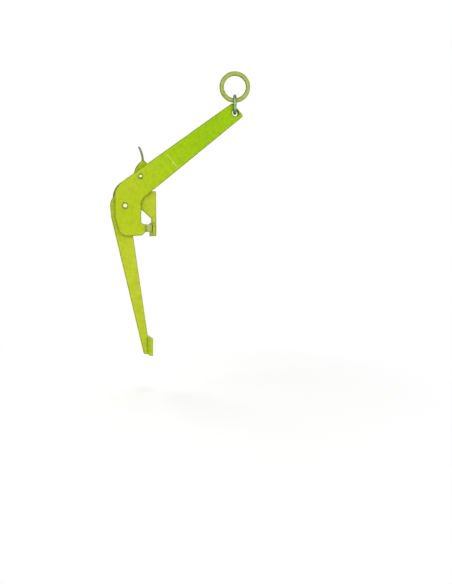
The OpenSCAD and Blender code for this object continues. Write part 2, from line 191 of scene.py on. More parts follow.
# %% [markdown]
# The third set makes patterns and colours. `own_place` is a point's place in its object's own axes, so
# that every pattern is fixed to the steel. `mottle` is a noise pattern whose scale is given as the size
# of its blotches in metres, which is easier to picture than a frequency, and `patches` fades it between
# two limits. `tint` blends from one colour to another, `darken` multiplies a colour, and `relief` turns
# a height into a bump.


# %% Helpers for patterns and colours
def own_place(tree):
    return add_node(tree, "ShaderNodeTexCoord").outputs["Object"]


def mottle(tree, place, blotch, detail=3.0, stretch=(1, 1, 1)):
    spread = add_node(tree, "ShaderNodeMapping", sockets={"Scale": stretch})
    join(tree, place, spread.inputs["Vector"])
    made = add_node(tree, "ShaderNodeTexNoise", sockets={"Scale": 1 / blotch, "Detail": detail})
    join(tree, spread.outputs["Vector"], made.inputs["Vector"])
    return made.outputs["Fac"]


def patches(tree, place, blotch, detail, limits, stretch=(1, 1, 1)):
    return fade(tree, mottle(tree, place, blotch, detail, stretch), *limits)


def tint(tree, amount, first, second, blend_type="MIX"):
    made = add_node(tree, "ShaderNodeMix", {"data_type": "RGBA", "blend_type": blend_type})
    feed(tree, amount, made.inputs["Factor"])
    feed(tree, first, made.inputs["A"])
    feed(tree, second, made.inputs["B"])
    return made.outputs["Result"]


def darken(tree, amount, colour, by):
    return tint(tree, amount, colour, by, "MULTIPLY")


def relief(tree, height, strength, depth):
    made = add_node(tree, "ShaderNodeBump", sockets={"Strength": strength, "Distance": depth})
    join(tree, height, made.inputs["Height"])
    return made.outputs["Normal"]


# %% [markdown]
# ## World
# The background is plain white. Turning the lamps up until it burns out would also burn out the paint,
# so the white is painted only for rays that come straight from the camera, or by way of a mirror or
# glass. Every other ray sees a calm grey world that works like the walls of a studio.

# %% World
WHITE = (1, 1, 1, 1)
WORLD_LIGHT = 0.28


def seen_directly(tree):
    rays = add_node(tree, "ShaderNodeLightPath")
    mirrored = larger(tree, rays.outputs["Is Camera Ray"], rays.outputs["Is Glossy Ray"])
    return larger(tree, mirrored, rays.outputs["Is Transmission Ray"])


def mix_shaders(tree, amount, first, second):
    made = add_node(tree, "ShaderNodeMixShader")
    join(tree, amount, made.inputs[0])
    join(tree, first.outputs[0], made.inputs[1])
    join(tree, second.outputs[0], made.inputs[2])
    return made


world = bpy.data.worlds.new("studio")
world.use_nodes = True
sky = world.node_tree
sky.nodes.clear()
walls = add_node(sky, "ShaderNodeBackground", sockets={"Color": WHITE, "Strength": WORLD_LIGHT})
backdrop = add_node(sky, "ShaderNodeBackground", sockets={"Color": WHITE, "Strength": 1.0})
choice = mix_shaders(sky, seen_directly(sky), walls, backdrop)
join(sky, choice.outputs[0], add_node(sky, "ShaderNodeOutputWorld").inputs["Surface"])
bpy.context.scene.world = world
print("world light:", WORLD_LIGHT)

# %% [markdown]
# ## Floor
# The floor is matt white with a little glow of its own. Under the clamp it takes the soft shadow, and
# further out it fades to plain white, so that no horizon shows. As with the world, only rays that see
# it directly get the glow.

# %% Floor
FLOOR_Z = -0.52
FLOOR_RADIUS = 14.0
FLOOR_SEGMENTS = 96
FLOOR_WHITE = (0.82, 0.82, 0.81, 1)
FLOOR_GLOW = 0.28
SHADOW_REACH = (0.35, 1.0)
floor_mesh = bpy.data.meshes.new("floor")
disc = bmesh.new()
bmesh.ops.create_circle(disc, cap_ends=True, segments=FLOOR_SEGMENTS, radius=FLOOR_RADIUS)
disc.to_mesh(floor_mesh)
disc.free()
floor = bpy.data.objects.new("floor", floor_mesh)
floor.location.z = FLOOR_Z
bpy.context.scene.collection.objects.link(floor)

floor_paint, floor_tree = fresh_material("floor_white")
matt = add_node(floor_tree, "ShaderNodeBsdfDiffuse", sockets={"Color": FLOOR_WHITE})
glow = add_node(floor_tree, "ShaderNodeEmission", sockets={"Color": WHITE, "Strength": FLOOR_GLOW})
shaded = add_node(floor_tree, "ShaderNodeAddShader")
join(floor_tree, matt.outputs[0], shaded.inputs[0])
join(floor_tree, glow.outputs[0], shaded.inputs[1])
plain = add_node(floor_tree, "ShaderNodeEmission", sockets={"Color": WHITE, "Strength": 1.0})
how_far = vector_math(floor_tree, "LENGTH", own_place(floor_tree))["Value"]
shown = mix_shaders(floor_tree, fade(floor_tree, how_far, *SHADOW_REACH), shaded, plain)
to_surface(floor_tree, mix_shaders(floor_tree, seen_directly(floor_tree), matt, shown))
floor_mesh.materials.append(floor_paint)
print("floor at", FLOOR_Z, "m")

# %% [markdown]
# ## Lights
# Painted steel looks like steel when broad soft lights leave long, quiet highlights on its edges. One
# large soft box stands near the camera, so that the cheeks throw only a narrow shadow on the frame
# behind them. A second one fills from the right, a third hangs overhead, a fourth lights the back, and
# a fifth stands on the left, in the plane of the plates, for their cut sides. The last three stay out
# of reflections: seen at a flat angle, the cut sides would mirror them and turn white. An area lamp
# shines along its own -Z, so each one is turned to face the middle of the clamp.

# %% Lights
middle = (cad_low + cad_high) / 2


def soft_box(name, place, width, power, mirrored=True):
    lamp = bpy.data.lights.new(name, "AREA")
    lamp.shape = "DISK"
    lamp.size = width
    lamp.energy = power
    holder = bpy.data.objects.new(name, lamp)
    holder.location = place
    holder.rotation_euler = (middle - Vector(place)).to_track_quat("-Z", "Y").to_euler()
    holder.visible_glossy = mirrored
    bpy.context.scene.collection.objects.link(holder)


soft_box("key_light", place=(-0.7, -2.5, 0.40), width=1.7, power=33)
soft_box("fill_light", place=(1.9, -1.7, 0.4), width=1.6, power=12)
soft_box("top_light", place=(0.3, 0.6, 2.3), width=1.5, power=15, mirrored=False)
soft_box("back_light", place=(-0.8, 2.2, 0.9), width=1.4, power=32, mirrored=False)
soft_box("side_light", place=(-2.3, 0.0, 0.35), width=1.2, power=15, mirrored=False)
print("lights aim at", tuple(round(v, 3) for v in middle))

# %% [markdown]
# ## Soft edges
# No real plate has a perfectly sharp edge: sawing, tumbling and paint all round it a little, and that
# thin round is what catches the light. The pieces load with their corners split, so Weld first closes
# them, Decimate clears needless lines from the flat sides, and Bevel rounds every edge sharper than 40
# degrees. Modifiers leave the loaded vertices as they are. The width follows the piece: pads get most
# and pins least. Round bars have no edges, and the retaining rings are too thin to round. A second Weld
# collapses the faces without area that Bevel leaves where edges meet. The spring is a wire of eight
# sides, so it gets a subdivision in place of the bevel.

# %% Soft edges
WELD_GAP = 1e-5
SLIVER = 1e-6
FLAT_LIMIT = math.radians(0.6)
EDGE_LIMIT = math.radians(40)
EDGE_SEGMENTS = 3
WIRE_LEVELS = 2
PLATE_EDGE = 0.0007
PAD_EDGE = 0.0012
PIN_EDGE = 0.0003
edge_round = {
    "frame_plate": PLATE_EDGE, "near_cheek": PLATE_EDGE, "far_cheek": PLATE_EDGE,
    "latch_pawl": PLATE_EDGE,
    "hook_pad": PAD_EDGE, "heel_pad": PAD_EDGE, "jaw_bar": PAD_EDGE, "thumb_tab": PAD_EDGE,
    "pivot_pin": PIN_EDGE, "latch_pin": PIN_EDGE, "pivot_bush": PIN_EDGE, "latch_bush": PIN_EDGE,
    "thrust_washers": PIN_EDGE, "latch_spacers": PIN_EDGE, "spring_stud": PIN_EDGE,
}
for name, piece in nodes.items():
    close = piece.modifiers.new("close_corners", "WELD")
    close.merge_threshold = WELD_GAP
    if name in edge_round:
        clear = piece.modifiers.new("clear_flats", "DECIMATE")
        clear.decimate_type = "DISSOLVE"
        clear.angle_limit = FLAT_LIMIT
        soften = piece.modifiers.new("soft_edges", "BEVEL")
        soften.width = edge_round[name]
        soften.segments = EDGE_SEGMENTS
        soften.limit_method = "ANGLE"
        soften.angle_limit = EDGE_LIMIT
        soften.harden_normals = True
        collapse = piece.modifiers.new("collapse_slivers", "WELD")
        collapse.merge_threshold = SLIVER
round_wire = nodes["latch_spring"].modifiers.new("round_wire", "SUBSURF")
round_wire.levels = WIRE_LEVELS
round_wire.render_levels = WIRE_LEVELS
print("soft edges on", len(edge_round), "pieces")

# %% [markdown]
# ## Where the surface itself shows wear and painted shade
# Wear is not spread evenly, and each kind has its own cause. Paint chips off along edges, so one mask
# compares the surface's normal with a rounded one, which differ only near an edge. Dirt and painted
# shade darken the corners, so another mask asks how shut-in a place is. The cut sides of a plate show
# the fine drag lines of the cutting flame and get painted shade, and those sides are known by their
# normal, which has little Y in it. The faces that look inwards, between the cheeks, get painted shade:
# there, the normal and the place point opposite ways.

# %% Masks from the surface
MASK_SAMPLES = 6
NORMALS_ALIKE = (0.997, 0.90)
OPEN_TO_AIR = (0.75, 0.15)
CUT_SIDE_Y = (0.5, 0.2)
LOOKS_INWARD = (-0.001, -0.006)


def true_normal(tree):
    return add_node(tree, "ShaderNodeNewGeometry").outputs["True Normal"]


def edge_mask(tree, width):
    rounded = add_node(tree, "ShaderNodeBevel", {"samples": MASK_SAMPLES}, {"Radius": width})
    alike = vector_math(tree, "DOT_PRODUCT", rounded.outputs["Normal"], true_normal(tree))["Value"]
    return fade(tree, alike, *NORMALS_ALIKE)


def corner_mask(tree, reach):
    settings = {"samples": MASK_SAMPLES}
    shut_in = add_node(tree, "ShaderNodeAmbientOcclusion", settings, {"Distance": reach})
    return fade(tree, shut_in.outputs["AO"], *OPEN_TO_AIR)


def cut_side_mask(tree):
    return fade(tree, arithmetic(tree, "ABSOLUTE", part_of(tree, true_normal(tree), "Y")), *CUT_SIDE_Y)


def inner_side_mask(tree, place):
    facing = times(tree, part_of(tree, true_normal(tree), "Y"), part_of(tree, place, "Y"))
    return fade(tree, facing, *LOOKS_INWARD)


# %% [markdown]
# ## Where the mechanism wears the paint
# Other wear follows the mechanism, so the frame is asked where the joints are. The arm runs from the
# main pivot to the eye of the lever, and its direction serves as a ruler later on.

# %% Places of the joints
joint_place = {joint["name"]: Vector(joint["pos_m"]) for joint in frame["joints"]}
pivot_place = joint_place["lever_pivot"]
latch_place = joint_place["latch_pivot"]
eye_place = joint_place["link_swing"]
arm_direction = (eye_place - pivot_place).normalized()
print("arm from pivot to eye:", round((eye_place - pivot_place).length, 4), "m")

# %% [markdown]
# Grease creeps out in a ragged ring round the two pins. The faces of the jaws and the heel rub on what
# they grip, all of them close to zero in X and below zero in Z.

# %% Masks from the mechanism
RUB_DEPTH = (0.0042, 0.0030)
RUB_HEIGHT = (-0.006, -0.010)
GREASE_BLOTCH = 0.012
GREASE_RAGGED = 0.014
GREASE_FADE = 0.010


def rubbed_mask(tree, place):
    near_plane = fade(tree, arithmetic(tree, "ABSOLUTE", part_of(tree, place, "X")), *RUB_DEPTH)
    return times(tree, near_plane, fade(tree, part_of(tree, place, "Z"), *RUB_HEIGHT))


def pin_distance(tree, place, axis_place):
    flat = vector_math(tree, "MULTIPLY", place, (1, 0, 1))["Vector"]
    return vector_math(tree, "DISTANCE", flat, (axis_place.x, 0, axis_place.z))["Value"]


def nearest_pin(tree, place):
    from_pivot = pin_distance(tree, place, pivot_place)
    return arithmetic(tree, "MINIMUM", from_pivot, pin_distance(tree, place, latch_place))


def grease_mask(tree, place, reach):
    ragged = times(tree, mottle(tree, place, GREASE_BLOTCH), GREASE_RAGGED)
    return fade(tree, plus(tree, nearest_pin(tree, place), ragged), reach + GREASE_FADE, reach)


# %% [markdown]
# ## Layers of worn paint
# All painted finishes have the same layers: a coat that varies a little from place to place, painted
# shade on the cut sides, a thin brown line along the edges that is partly coat pulled back and partly
# painted shade, dirt and painted shade in the corners, a few scratches and rust specks, and steel where
# the coat is gone. A scratch is a thin band of a noise that is stretched into long streaks, and it shows
# only in patches. The relief adds the fine grain of sprayed paint, slow waves, and drag lines on cut
# sides.

# %% Scratches and relief
BAND_RISES, BAND_FALLS = (0.485, 0.499), (0.516, 0.502)
GRAIN_HIGH, DRAG_HIGH = 0.5, 1.6
PAINT_DEPTH = 0.0004


def scratch_mask(tree, place):
    streaks = mottle(tree, place, blotch=0.0035, detail=1.0, stretch=(0.9, 0.05, 0.035))
    thin = times(tree, fade(tree, streaks, *BAND_RISES), fade(tree, streaks, *BAND_FALLS))
    return times(tree, thin, patches(tree, place, blotch=0.03, detail=2.0, limits=(0.56, 0.68)))


def paint_relief(tree, place, strength):
    grain = times(tree, mottle(tree, place, blotch=0.0014, detail=2.0), GRAIN_HIGH)
    waves = mottle(tree, place, blotch=0.02, detail=1.0)
    drag_lines = mottle(tree, place, blotch=0.0011, detail=2.0, stretch=(1, 0.06, 1))
    drag = times(tree, times(tree, drag_lines, cut_side_mask(tree)), DRAG_HIGH)
    return relief(tree, plus(tree, grain, plus(tree, waves, drag)), strength, PAINT_DEPTH)


# %% [markdown]
# Dirt goes on in order, from what lies deepest: darker blotches and freckles in the coat, then grime and
# painted shade in the corners and grease round the pins, then scratches, and last a few specks of rust.

# %% Dirt on the coat
BARE_STEEL = (0.165, 0.155, 0.125, 1)
GRIME_AND_CORNER_SHADE = (0.075, 0.085, 0.022, 1)
RUST = (0.150, 0.070, 0.022, 1)
BLOTCH_SHADE = (0.72, 0.77, 0.55, 1)
BLOTCH_STRENGTH, FRECKLE_STRENGTH = 0.6, 0.45
CORNER_DARK_REACH, CORNER_DARK_STRENGTH = 0.010, 0.5
GREASE_REACH, GREASE_STRENGTH = 0.010, 0.5
SCRATCH_STRENGTH, RUST_STRENGTH = 0.5, 0.7


def dirty_coat(tree, place, coat, fine):
    blotches = patches(tree, place, blotch=0.013, detail=4.0, limits=(0.40, 0.70))
    freckles = times(tree, fade(tree, fine, start=0.42, end=0.66), FRECKLE_STRENGTH)
    darker = larger(tree, times(tree, blotches, BLOTCH_STRENGTH), freckles)
    coat = darken(tree, darker, coat, BLOTCH_SHADE)
    # Grime and painted shade in the shut-in corners.
    corner_dark = times(tree, corner_mask(tree, CORNER_DARK_REACH), fade(tree, fine, start=0.25, end=0.6))
    grease = times(tree, grease_mask(tree, place, GREASE_REACH), GREASE_STRENGTH)
    coat = tint(tree, larger(tree, times(tree, corner_dark, CORNER_DARK_STRENGTH), grease), coat, GRIME_AND_CORNER_SHADE)
    coat = tint(tree, times(tree, scratch_mask(tree, place), SCRATCH_STRENGTH), coat, BARE_STEEL)
    specks = patches(tree, place, blotch=0.0035, detail=2.0, limits=(0.72, 0.78))
    return tint(tree, times(tree, specks, RUST_STRENGTH), coat, RUST)


# %% [markdown]
# Bare steel shows in three kinds of place: chips along the edges, thin spots in the coat, and upright
# streaks on the faces that rub. More chipping or thinness lowers the limits of the noise, so that more
# of it counts as bare.

# %% Bare places
CHIP_LIMITS = (0.66, 0.74)
THIN_LIMITS = (0.74, 0.86)
RUB_STRENGTH = 0.7


def lowered(limits, by):
    return [limit - by for limit in limits]


def bare_mask(tree, place, edges, chipping, thinness):
    flakes = patches(tree, place, blotch=0.0045, detail=4.0, limits=lowered(CHIP_LIMITS, chipping))
    thin_spots = patches(tree, place, blotch=0.011, detail=6.0, limits=lowered(THIN_LIMITS, thinness))
    streaks = patches(
        tree, place, blotch=0.0022, detail=6.0, limits=(0.40, 0.66), stretch=(1, 1, 0.12)
    )
    rubbed = times(tree, rubbed_mask(tree, place), times(tree, streaks, RUB_STRENGTH))
    return larger(tree, larger(tree, times(tree, edges, flakes), thin_spots), rubbed)


# %% [markdown]
# ## Worn paint
# One function joins the layers. It takes what differs between the paints: two colours, the roughness,
# how much the edges chip, how thin the coat is, how much painted shade its cut sides get, and the reach
# of the brown line, partly worn coat and partly painted shade, along the edges. A paint may also pass
# its coat through a step of its own before the dirt goes on. All layers end in one Principled shader,
# so bare metal is a change of its Metallic and Roughness, not a second shader. The paint has little
# shine: a strong reflection of the white studio would wash the lime out.

# %% Worn paint
EDGE_BROWN_AND_SHADE, EDGE_STRENGTH = (0.080, 0.080, 0.012, 1), 0.85
CUT_SIDE_PAINTED_SHADE = (0.50, 0.47, 0.42, 1)
BARE_METALLIC = 0.5
FINE_ROUGHNESS = 0.16
PAINT_SHINE = 0.13
PAINT_RELIEF = 0.22


def worn_paint(name, fresh, faded, roughness, chipping, thinness, cut_side_shade, edge_width, own_step=None):
    material, tree = fresh_material(name)
    place = own_place(tree)
    fine = mottle(tree, place, blotch=0.006, detail=5.0)
    edges = edge_mask(tree, edge_width)
    weathered = patches(tree, place, blotch=0.07, detail=3.0, limits=(0.3, 0.72))
    coat = tint(tree, weathered, fresh, faded)
    if own_step:
        coat = own_step(tree, place, coat)
    coat = dirty_coat(tree, place, coat, fine)
    # Painted shade on the cut sides of the plates.
    coat = darken(tree, times(tree, cut_side_mask(tree), cut_side_shade), coat, CUT_SIDE_PAINTED_SHADE)
    # The brown edge line is partly worn coat and partly painted shade along the edges.
    edge_wear_and_shade = times(tree, edges, fade(tree, fine, start=0.15, end=0.50))
    coat = tint(tree, times(tree, edge_wear_and_shade, EDGE_STRENGTH), coat, EDGE_BROWN_AND_SHADE)
    bare = bare_mask(tree, place, edges, chipping, thinness)
    shader = add_node(tree, "ShaderNodeBsdfPrincipled", sockets={"Specular IOR Level": PAINT_SHINE})
    join(tree, tint(tree, bare, coat, BARE_STEEL), shader.inputs["Base Color"])
    join(tree, times(tree, bare, BARE_METALLIC), shader.inputs["Metallic"])
    join(tree, plus(tree, roughness, times(tree, fine, FINE_ROUGHNESS)), shader.inputs["Roughness"])
    join(tree, paint_relief(tree, place, PAINT_RELIEF), shader.inputs["Normal"])
    to_surface(tree, shader)
    return material


# %% [markdown]
# ## Coat of the lever
# The lever is lime, yellower at its head and greener towards the eye. Across each cheek at its bend, a
# set distance along the arm from the pivot, runs a painted highlight: a pale line where the rounded bend
# would catch the light, which dies out before it reaches the edges. The faces between the cheeks get
# painted shade, and round the eye a dark ring of painted shade lies in and about the hole.

# %% Coat of the lever
BEND_AT = 0.200
BEND_LINE = (0.0038, 0.0008)
BEND_LOW, BEND_HIGH = (-0.016, -0.006), (0.040, 0.030)
BEND_PAINTED_HIGHLIGHT, BEND_HIGHLIGHT_STRENGTH = (0.70, 0.76, 0.20, 1), 0.85
GREENER_ALONG = (0.0, 0.34)
EYE_LIME = (0.362, 0.605, 0.001, 1)
INNER_PAINTED_SHADE, INNER_SHADE_STRENGTH = (0.130, 0.150, 0.030, 1), 0.75
EYE_PAINTED_SHADE, EYE_SHADE_STRENGTH = (0.035, 0.070, 0.006, 1), 0.9
EYE_SHADE_RING = (0.0155, 0.0122)
EYE_RAGGED = 0.003


def measured_along(tree, place, direction):
    reading = vector_math(tree, "DOT_PRODUCT", place, direction)["Value"]
    return arithmetic(tree, "SUBTRACT", reading, pivot_place.dot(direction))


def bend_highlight_mask(tree, place, from_pivot):
    off_line = arithmetic(tree, "ABSOLUTE", arithmetic(tree, "SUBTRACT", from_pivot, BEND_AT))
    across = measured_along(tree, place, Vector((-arm_direction.z, 0, arm_direction.x)))
    inside = times(tree, fade(tree, across, *BEND_LOW), fade(tree, across, *BEND_HIGH))
    broken = patches(tree, place, blotch=0.006, detail=4.0, limits=(0.36, 0.60))
    return times(tree, times(tree, fade(tree, off_line, *BEND_LINE), broken), inside)


def arm_coat(tree, place, coat):
    from_pivot = measured_along(tree, place, arm_direction)
    coat = tint(tree, fade(tree, from_pivot, *GREENER_ALONG), coat, EYE_LIME)
    # Painted shade on the inner faces between the cheeks.
    coat = tint(tree, times(tree, inner_side_mask(tree, place), INNER_SHADE_STRENGTH), coat, INNER_PAINTED_SHADE)
    # Painted highlight: a pale line across each cheek at the bend.
    coat = tint(tree, times(tree, bend_highlight_mask(tree, place, from_pivot), BEND_HIGHLIGHT_STRENGTH), coat, BEND_PAINTED_HIGHLIGHT)
    # Painted shade: a dark ring in and about the eye hole.
    ragged = times(tree, mottle(tree, place, blotch=0.004), EYE_RAGGED)
    from_eye = plus(tree, pin_distance(tree, place, eye_place), ragged)
    return tint(tree, times(tree, fade(tree, from_eye, *EYE_SHADE_RING), EYE_SHADE_STRENGTH), coat, EYE_PAINTED_SHADE)


# %% [markdown]
# ## Coat of the lifting ring
# The ring keeps its plain coat on its two sides, and gets painted shade inside and outside, where the
# round bar turns away from the light. The mask reads the normal in the object's own axes, so the painted
# shade stays in its place when the ring tilts.

# %% Coat of the lifting ring
RING_RIM_SHADE = (0.46, 0.45, 0.34, 1)
RIM_SHADE_LIMITS = (1.12, 0.55)
RIM_SHADE_RAGGED = 0.5


def ring_coat(tree, place, coat):
    own_normal = add_node(tree, "ShaderNodeTexCoord").outputs["Normal"]
    sideways = arithmetic(tree, "ABSOLUTE", part_of(tree, own_normal, "Y"))
    ragged = times(tree, mottle(tree, place, blotch=0.008, detail=4.0), RIM_SHADE_RAGGED)
    # Painted shade on the inner and outer rims of the ring.
    return darken(tree, fade(tree, plus(tree, sideways, ragged), *RIM_SHADE_LIMITS), coat, RING_RIM_SHADE)


# %% [markdown]
# ## The paints of this clamp
# The frame is a paler, yellower lime than the lever, and the ring, the jaw bar and the thumb tab carry
# only a thin coat over the metal. Colours in shader sockets are linear, so the values are far lower
# than the ones that a colour picker shows.

# %% The paints of this clamp
LIME = (0.472, 0.605, 0.004, 1)
LIME_FADED = (0.500, 0.615, 0.012, 1)
lever_paint = worn_paint(
    "lever_paint", fresh=LIME, faded=LIME_FADED, roughness=0.34, chipping=0.10, thinness=0.0,
    cut_side_shade=0.35, edge_width=0.0060, own_step=arm_coat
)
pad_paint = worn_paint(
    "pad_paint", fresh=(0.460, 0.620, 0.007, 1), faded=LIME_FADED, roughness=0.36, chipping=0.12,
    thinness=0.02, cut_side_shade=0.0, edge_width=0.0030
)
leg_paint = worn_paint(
    "leg_paint", fresh=(0.520, 0.620, 0.014, 1), faded=(0.550, 0.630, 0.036, 1), roughness=0.36,
    chipping=0.10, thinness=0.0, cut_side_shade=0.1, edge_width=0.0045
)
olive_paint = worn_paint(
    "olive_paint", fresh=(0.400, 0.500, 0.080, 1), faded=(0.450, 0.520, 0.130, 1), roughness=0.36,
    chipping=0.16, thinness=0.02, cut_side_shade=0.0, edge_width=0.0022
)
ring_paint = worn_paint(
    "ring_paint", fresh=(0.415, 0.505, 0.090, 1), faded=(0.455, 0.525, 0.145, 1), roughness=0.36,
    chipping=0.16, thinness=0.03, cut_side_shade=0.0, edge_width=0.0022, own_step=ring_coat
)
tab_paint = worn_paint(
    "tab_paint", fresh=(0.220, 0.235, 0.100, 1), faded=(0.290, 0.300, 0.150, 1), roughness=0.38,
    chipping=0.16, thinness=0.10, cut_side_shade=0.0, edge_width=0.0020
)
paints = (lever_paint, pad_paint, leg_paint, olive_paint, ring_paint, tab_paint)
print("paints:", [paint.name for paint in paints])

# %% [markdown]
# ## Zinc, black oxide and spring wire
# The link and the pins are zinc plated. Zinc grows in small crystals, so a Voronoi pattern gives each
# grain its own shade and gloss. The pin ends were faced on a lathe, which leaves rings about the axis:
# a sine of the distance from the nearest pin. Spray from the painting of the lever has tinted the pins
# and their black retaining rings, and the spring is bare drawn wire.

# %% Plated metal
LATHE_STEP = 0.0008
OILY_GRIME_AND_SHADE, OIL_AND_SHADE_STRENGTH = (0.030, 0.030, 0.018, 1), 0.85
OIL_AND_SHADE_REACH = 0.008
CRYSTAL_SHADE, CRYSTAL_ROUGHNESS = 0.4, 0.12
CLOUD_SHADE, CLOUD_ROUGHNESS = 0.6, 0.15
METAL_RELIEF, METAL_DEPTH = 0.18, 0.0002


def lathe_rings(tree, place):
    wave = arithmetic(tree, "SINE", times(tree, nearest_pin(tree, place), 2 * math.pi / LATHE_STEP))
    return times(tree, wave, fade(tree, cut_side_mask(tree), start=0.2, end=0.0))


def plated_metal(name, light, dark, grain, roughness):
    material, tree = fresh_material(name)
    place = own_place(tree)
    crystals = add_node(tree, "ShaderNodeTexVoronoi", sockets={"Scale": 1 / grain})
    join(tree, place, crystals.inputs["Vector"])
    shade = add_node(tree, "ShaderNodeSeparateColor")
    join(tree, crystals.outputs["Color"], shade.inputs[0])
    clouds = mottle(tree, place, blotch=0.008, detail=4.0)
    metal = tint(tree, times(tree, shade.outputs[0], CRYSTAL_SHADE), light, dark)
    metal = tint(tree, times(tree, fade(tree, clouds, start=0.35, end=0.65), CLOUD_SHADE), metal, dark)
    # Oily grime and painted shade in the shut-in corners of the metal.
    oil_and_shade = times(tree, corner_mask(tree, OIL_AND_SHADE_REACH), fade(tree, clouds, start=0.25, end=0.55))
    metal = tint(tree, times(tree, oil_and_shade, OIL_AND_SHADE_STRENGTH), metal, OILY_GRIME_AND_SHADE)
    rough = plus(tree, roughness, times(tree, shade.outputs[1], CRYSTAL_ROUGHNESS))
    rough = plus(tree, rough, times(tree, clouds, CLOUD_ROUGHNESS))
    grit = mottle(tree, place, blotch=0.0009, detail=3.0)
    bumps = relief(tree, plus(tree, grit, lathe_rings(tree, place)), METAL_RELIEF, METAL_DEPTH)
    shader = add_node(tree, "ShaderNodeBsdfPrincipled", sockets={"Metallic": 1.0})
    join(tree, metal, shader.inputs["Base Color"])
    join(tree, rough, shader.inputs["Roughness"])
    join(tree, bumps, shader.inputs["Normal"])
    to_surface(tree, shader)
    return material


# %% [markdown]
# Four metals come from that function. The pins are paler than the link, and the drawn wire of the
# spring has the finest grains.

# %% The metals of this clamp
zinc_plate = plated_metal(
    "zinc_plate", light=(0.24, 0.36, 0.16, 1), dark=(0.095, 0.16, 0.06, 1),
    grain=0.0016, roughness=0.24
)
pin_zinc = plated_metal(
    "pin_zinc", light=(0.56, 0.62, 0.36, 1), dark=(0.36, 0.41, 0.20, 1),
    grain=0.0014, roughness=0.24
)
dark_steel = plated_metal(
    "dark_steel", light=(0.190, 0.230, 0.050, 1), dark=(0.080, 0.095, 0.024, 1),
    grain=0.0012, roughness=0.30
)
spring_steel = plated_metal(
    "spring_steel", light=(0.33, 0.325, 0.30, 1), dark=(0.20, 0.195, 0.18, 1),
    grain=0.0010, roughness=0.28
)
print("metals:", [metal.name for metal in (zinc_plate, pin_zinc, dark_steel, spring_steel)])

# %% [markdown]
# ## Finishes on the loaded pieces
# Every loaded piece names its material slot in the record. The finish for that slot goes into the
# piece's first material slot. A few pieces then get a finish of their own: the thumb tab is a dark grey
# olive, the ring has painted shade on its rims, the pins are tinted, and the heel pad and the rod get no
# painted shade on their cut sides.

# %% Finishes on the loaded pieces
finishes = {
    "lever_paint": lever_paint, "leg_paint": leg_paint, "olive_paint": olive_paint,
    "zinc_plate": zinc_plate, "dark_steel": dark_steel, "spring_steel": spring_steel,
}
slot_of = {part["node"]: part["material_slot"] for part in frame["record"]["subparts"]}
for name, piece in nodes.items():
    piece.data.materials[0] = finishes[slot_of[name]]
own_finish = {
    "thumb_tab": tab_paint, "heel_pad": pad_paint, "cheek_rod": pad_paint, "lifting_ring": ring_paint,
    "pivot_pin": pin_zinc, "latch_pin": pin_zinc,
}
for name, finish in own_finish.items():
    nodes[name].data.materials[0] = finish
print("finished pieces:", len(nodes), "of them with a finish of their own:", len(own_finish))

# %% [markdown]
# ## Latch spring
# The spring that pushes the latch down is a torsion spring: its coil sits on the latch pin, one leg
# leans on a stud in the cheek, and the other lies over the pawl. When a thumb lifts the latch, the coil
# twists. A rigid wire would stay behind and cut into the pawl. The loaded piece, with its rounding, is
# copied into a piece of its own that stands in its place, and the loaded piece is hidden.

# %% Latch spring
bpy.context.view_layer.update()
rounded_spring = nodes["latch_spring"].evaluated_get(bpy.context.evaluated_depsgraph_get())
spring_wire = bpy.data.objects.new("latch_spring_wire", bpy.data.meshes.new_from_object(rounded_spring))
spring_wire.data.shade_smooth()
bpy.context.scene.collection.objects.link(spring_wire)
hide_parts("latch_spring")
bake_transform(spring_wire)

# %% [markdown]
# ## A tube with its own skin
# Welds are modelled as tubes: rings of points, one after the other along a path, with a skin over them.
# An open tube gets a cap at each end, and a closed one joins its last ring to its first. The same
# function puts the finish on, and lets the piece ride on its body.


# %% A tube with its own skin
def tube_piece(name, rings, body, finish, closed=False):
    skin = bmesh.new()
    loops = [[skin.verts.new(point) for point in ring] for ring in rings]
    pairs = list(zip(loops, loops[1:]))
    if closed:
        pairs.append((loops[-1], loops[0]))
    else:
        skin.faces.new(list(reversed(loops[0])))
        skin.faces.new(loops[-1])
    for loop, following in pairs:
        for k in range(len(loop)):
            beside = (k + 1) % len(loop)
            skin.faces.new((loop[k], loop[beside], following[beside], following[k]))
    bmesh.ops.recalc_face_normals(skin, faces=skin.faces)
    mesh = bpy.data.meshes.new(name)
    skin.to_mesh(mesh)
    skin.free()
    mesh.shade_smooth()
    mesh.materials.append(finishes[finish])
    piece = bpy.data.objects.new(name, mesh)
    bpy.context.scene.collection.objects.link(piece)
    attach(piece, body)
    return piece


# %% [markdown]
# ## Weld beads
# The pads, the jaw bar and the rod are welded on. A weld bead is a row of frozen puddles, each laid
# over the last, so its skin has curved ripples a few millimetres apart. A bevelled curve would give a
# smooth sausage. Here the radius swells once in each puddle, the ripples bow back at the sides, and the
# ends are round. The bead sits on the corner line of the two plates, half sunk in them. The small
# unevenness from puddle to puddle is seeded, so that it is the same on every run.

# %% Weld beads
PUDDLE = 0.0026
PUDDLE_LOW = 0.88
PUDDLE_SWELL = 0.14
PUDDLE_UNEVEN = 0.06
RIPPLE_BOW = 0.35 * PUDDLE
RIPPLE_STEPS = 6
BEAD_SIDES = 14
END_LONG = 1.3
END_BLUNT = 0.02
uneven = random.Random(7)


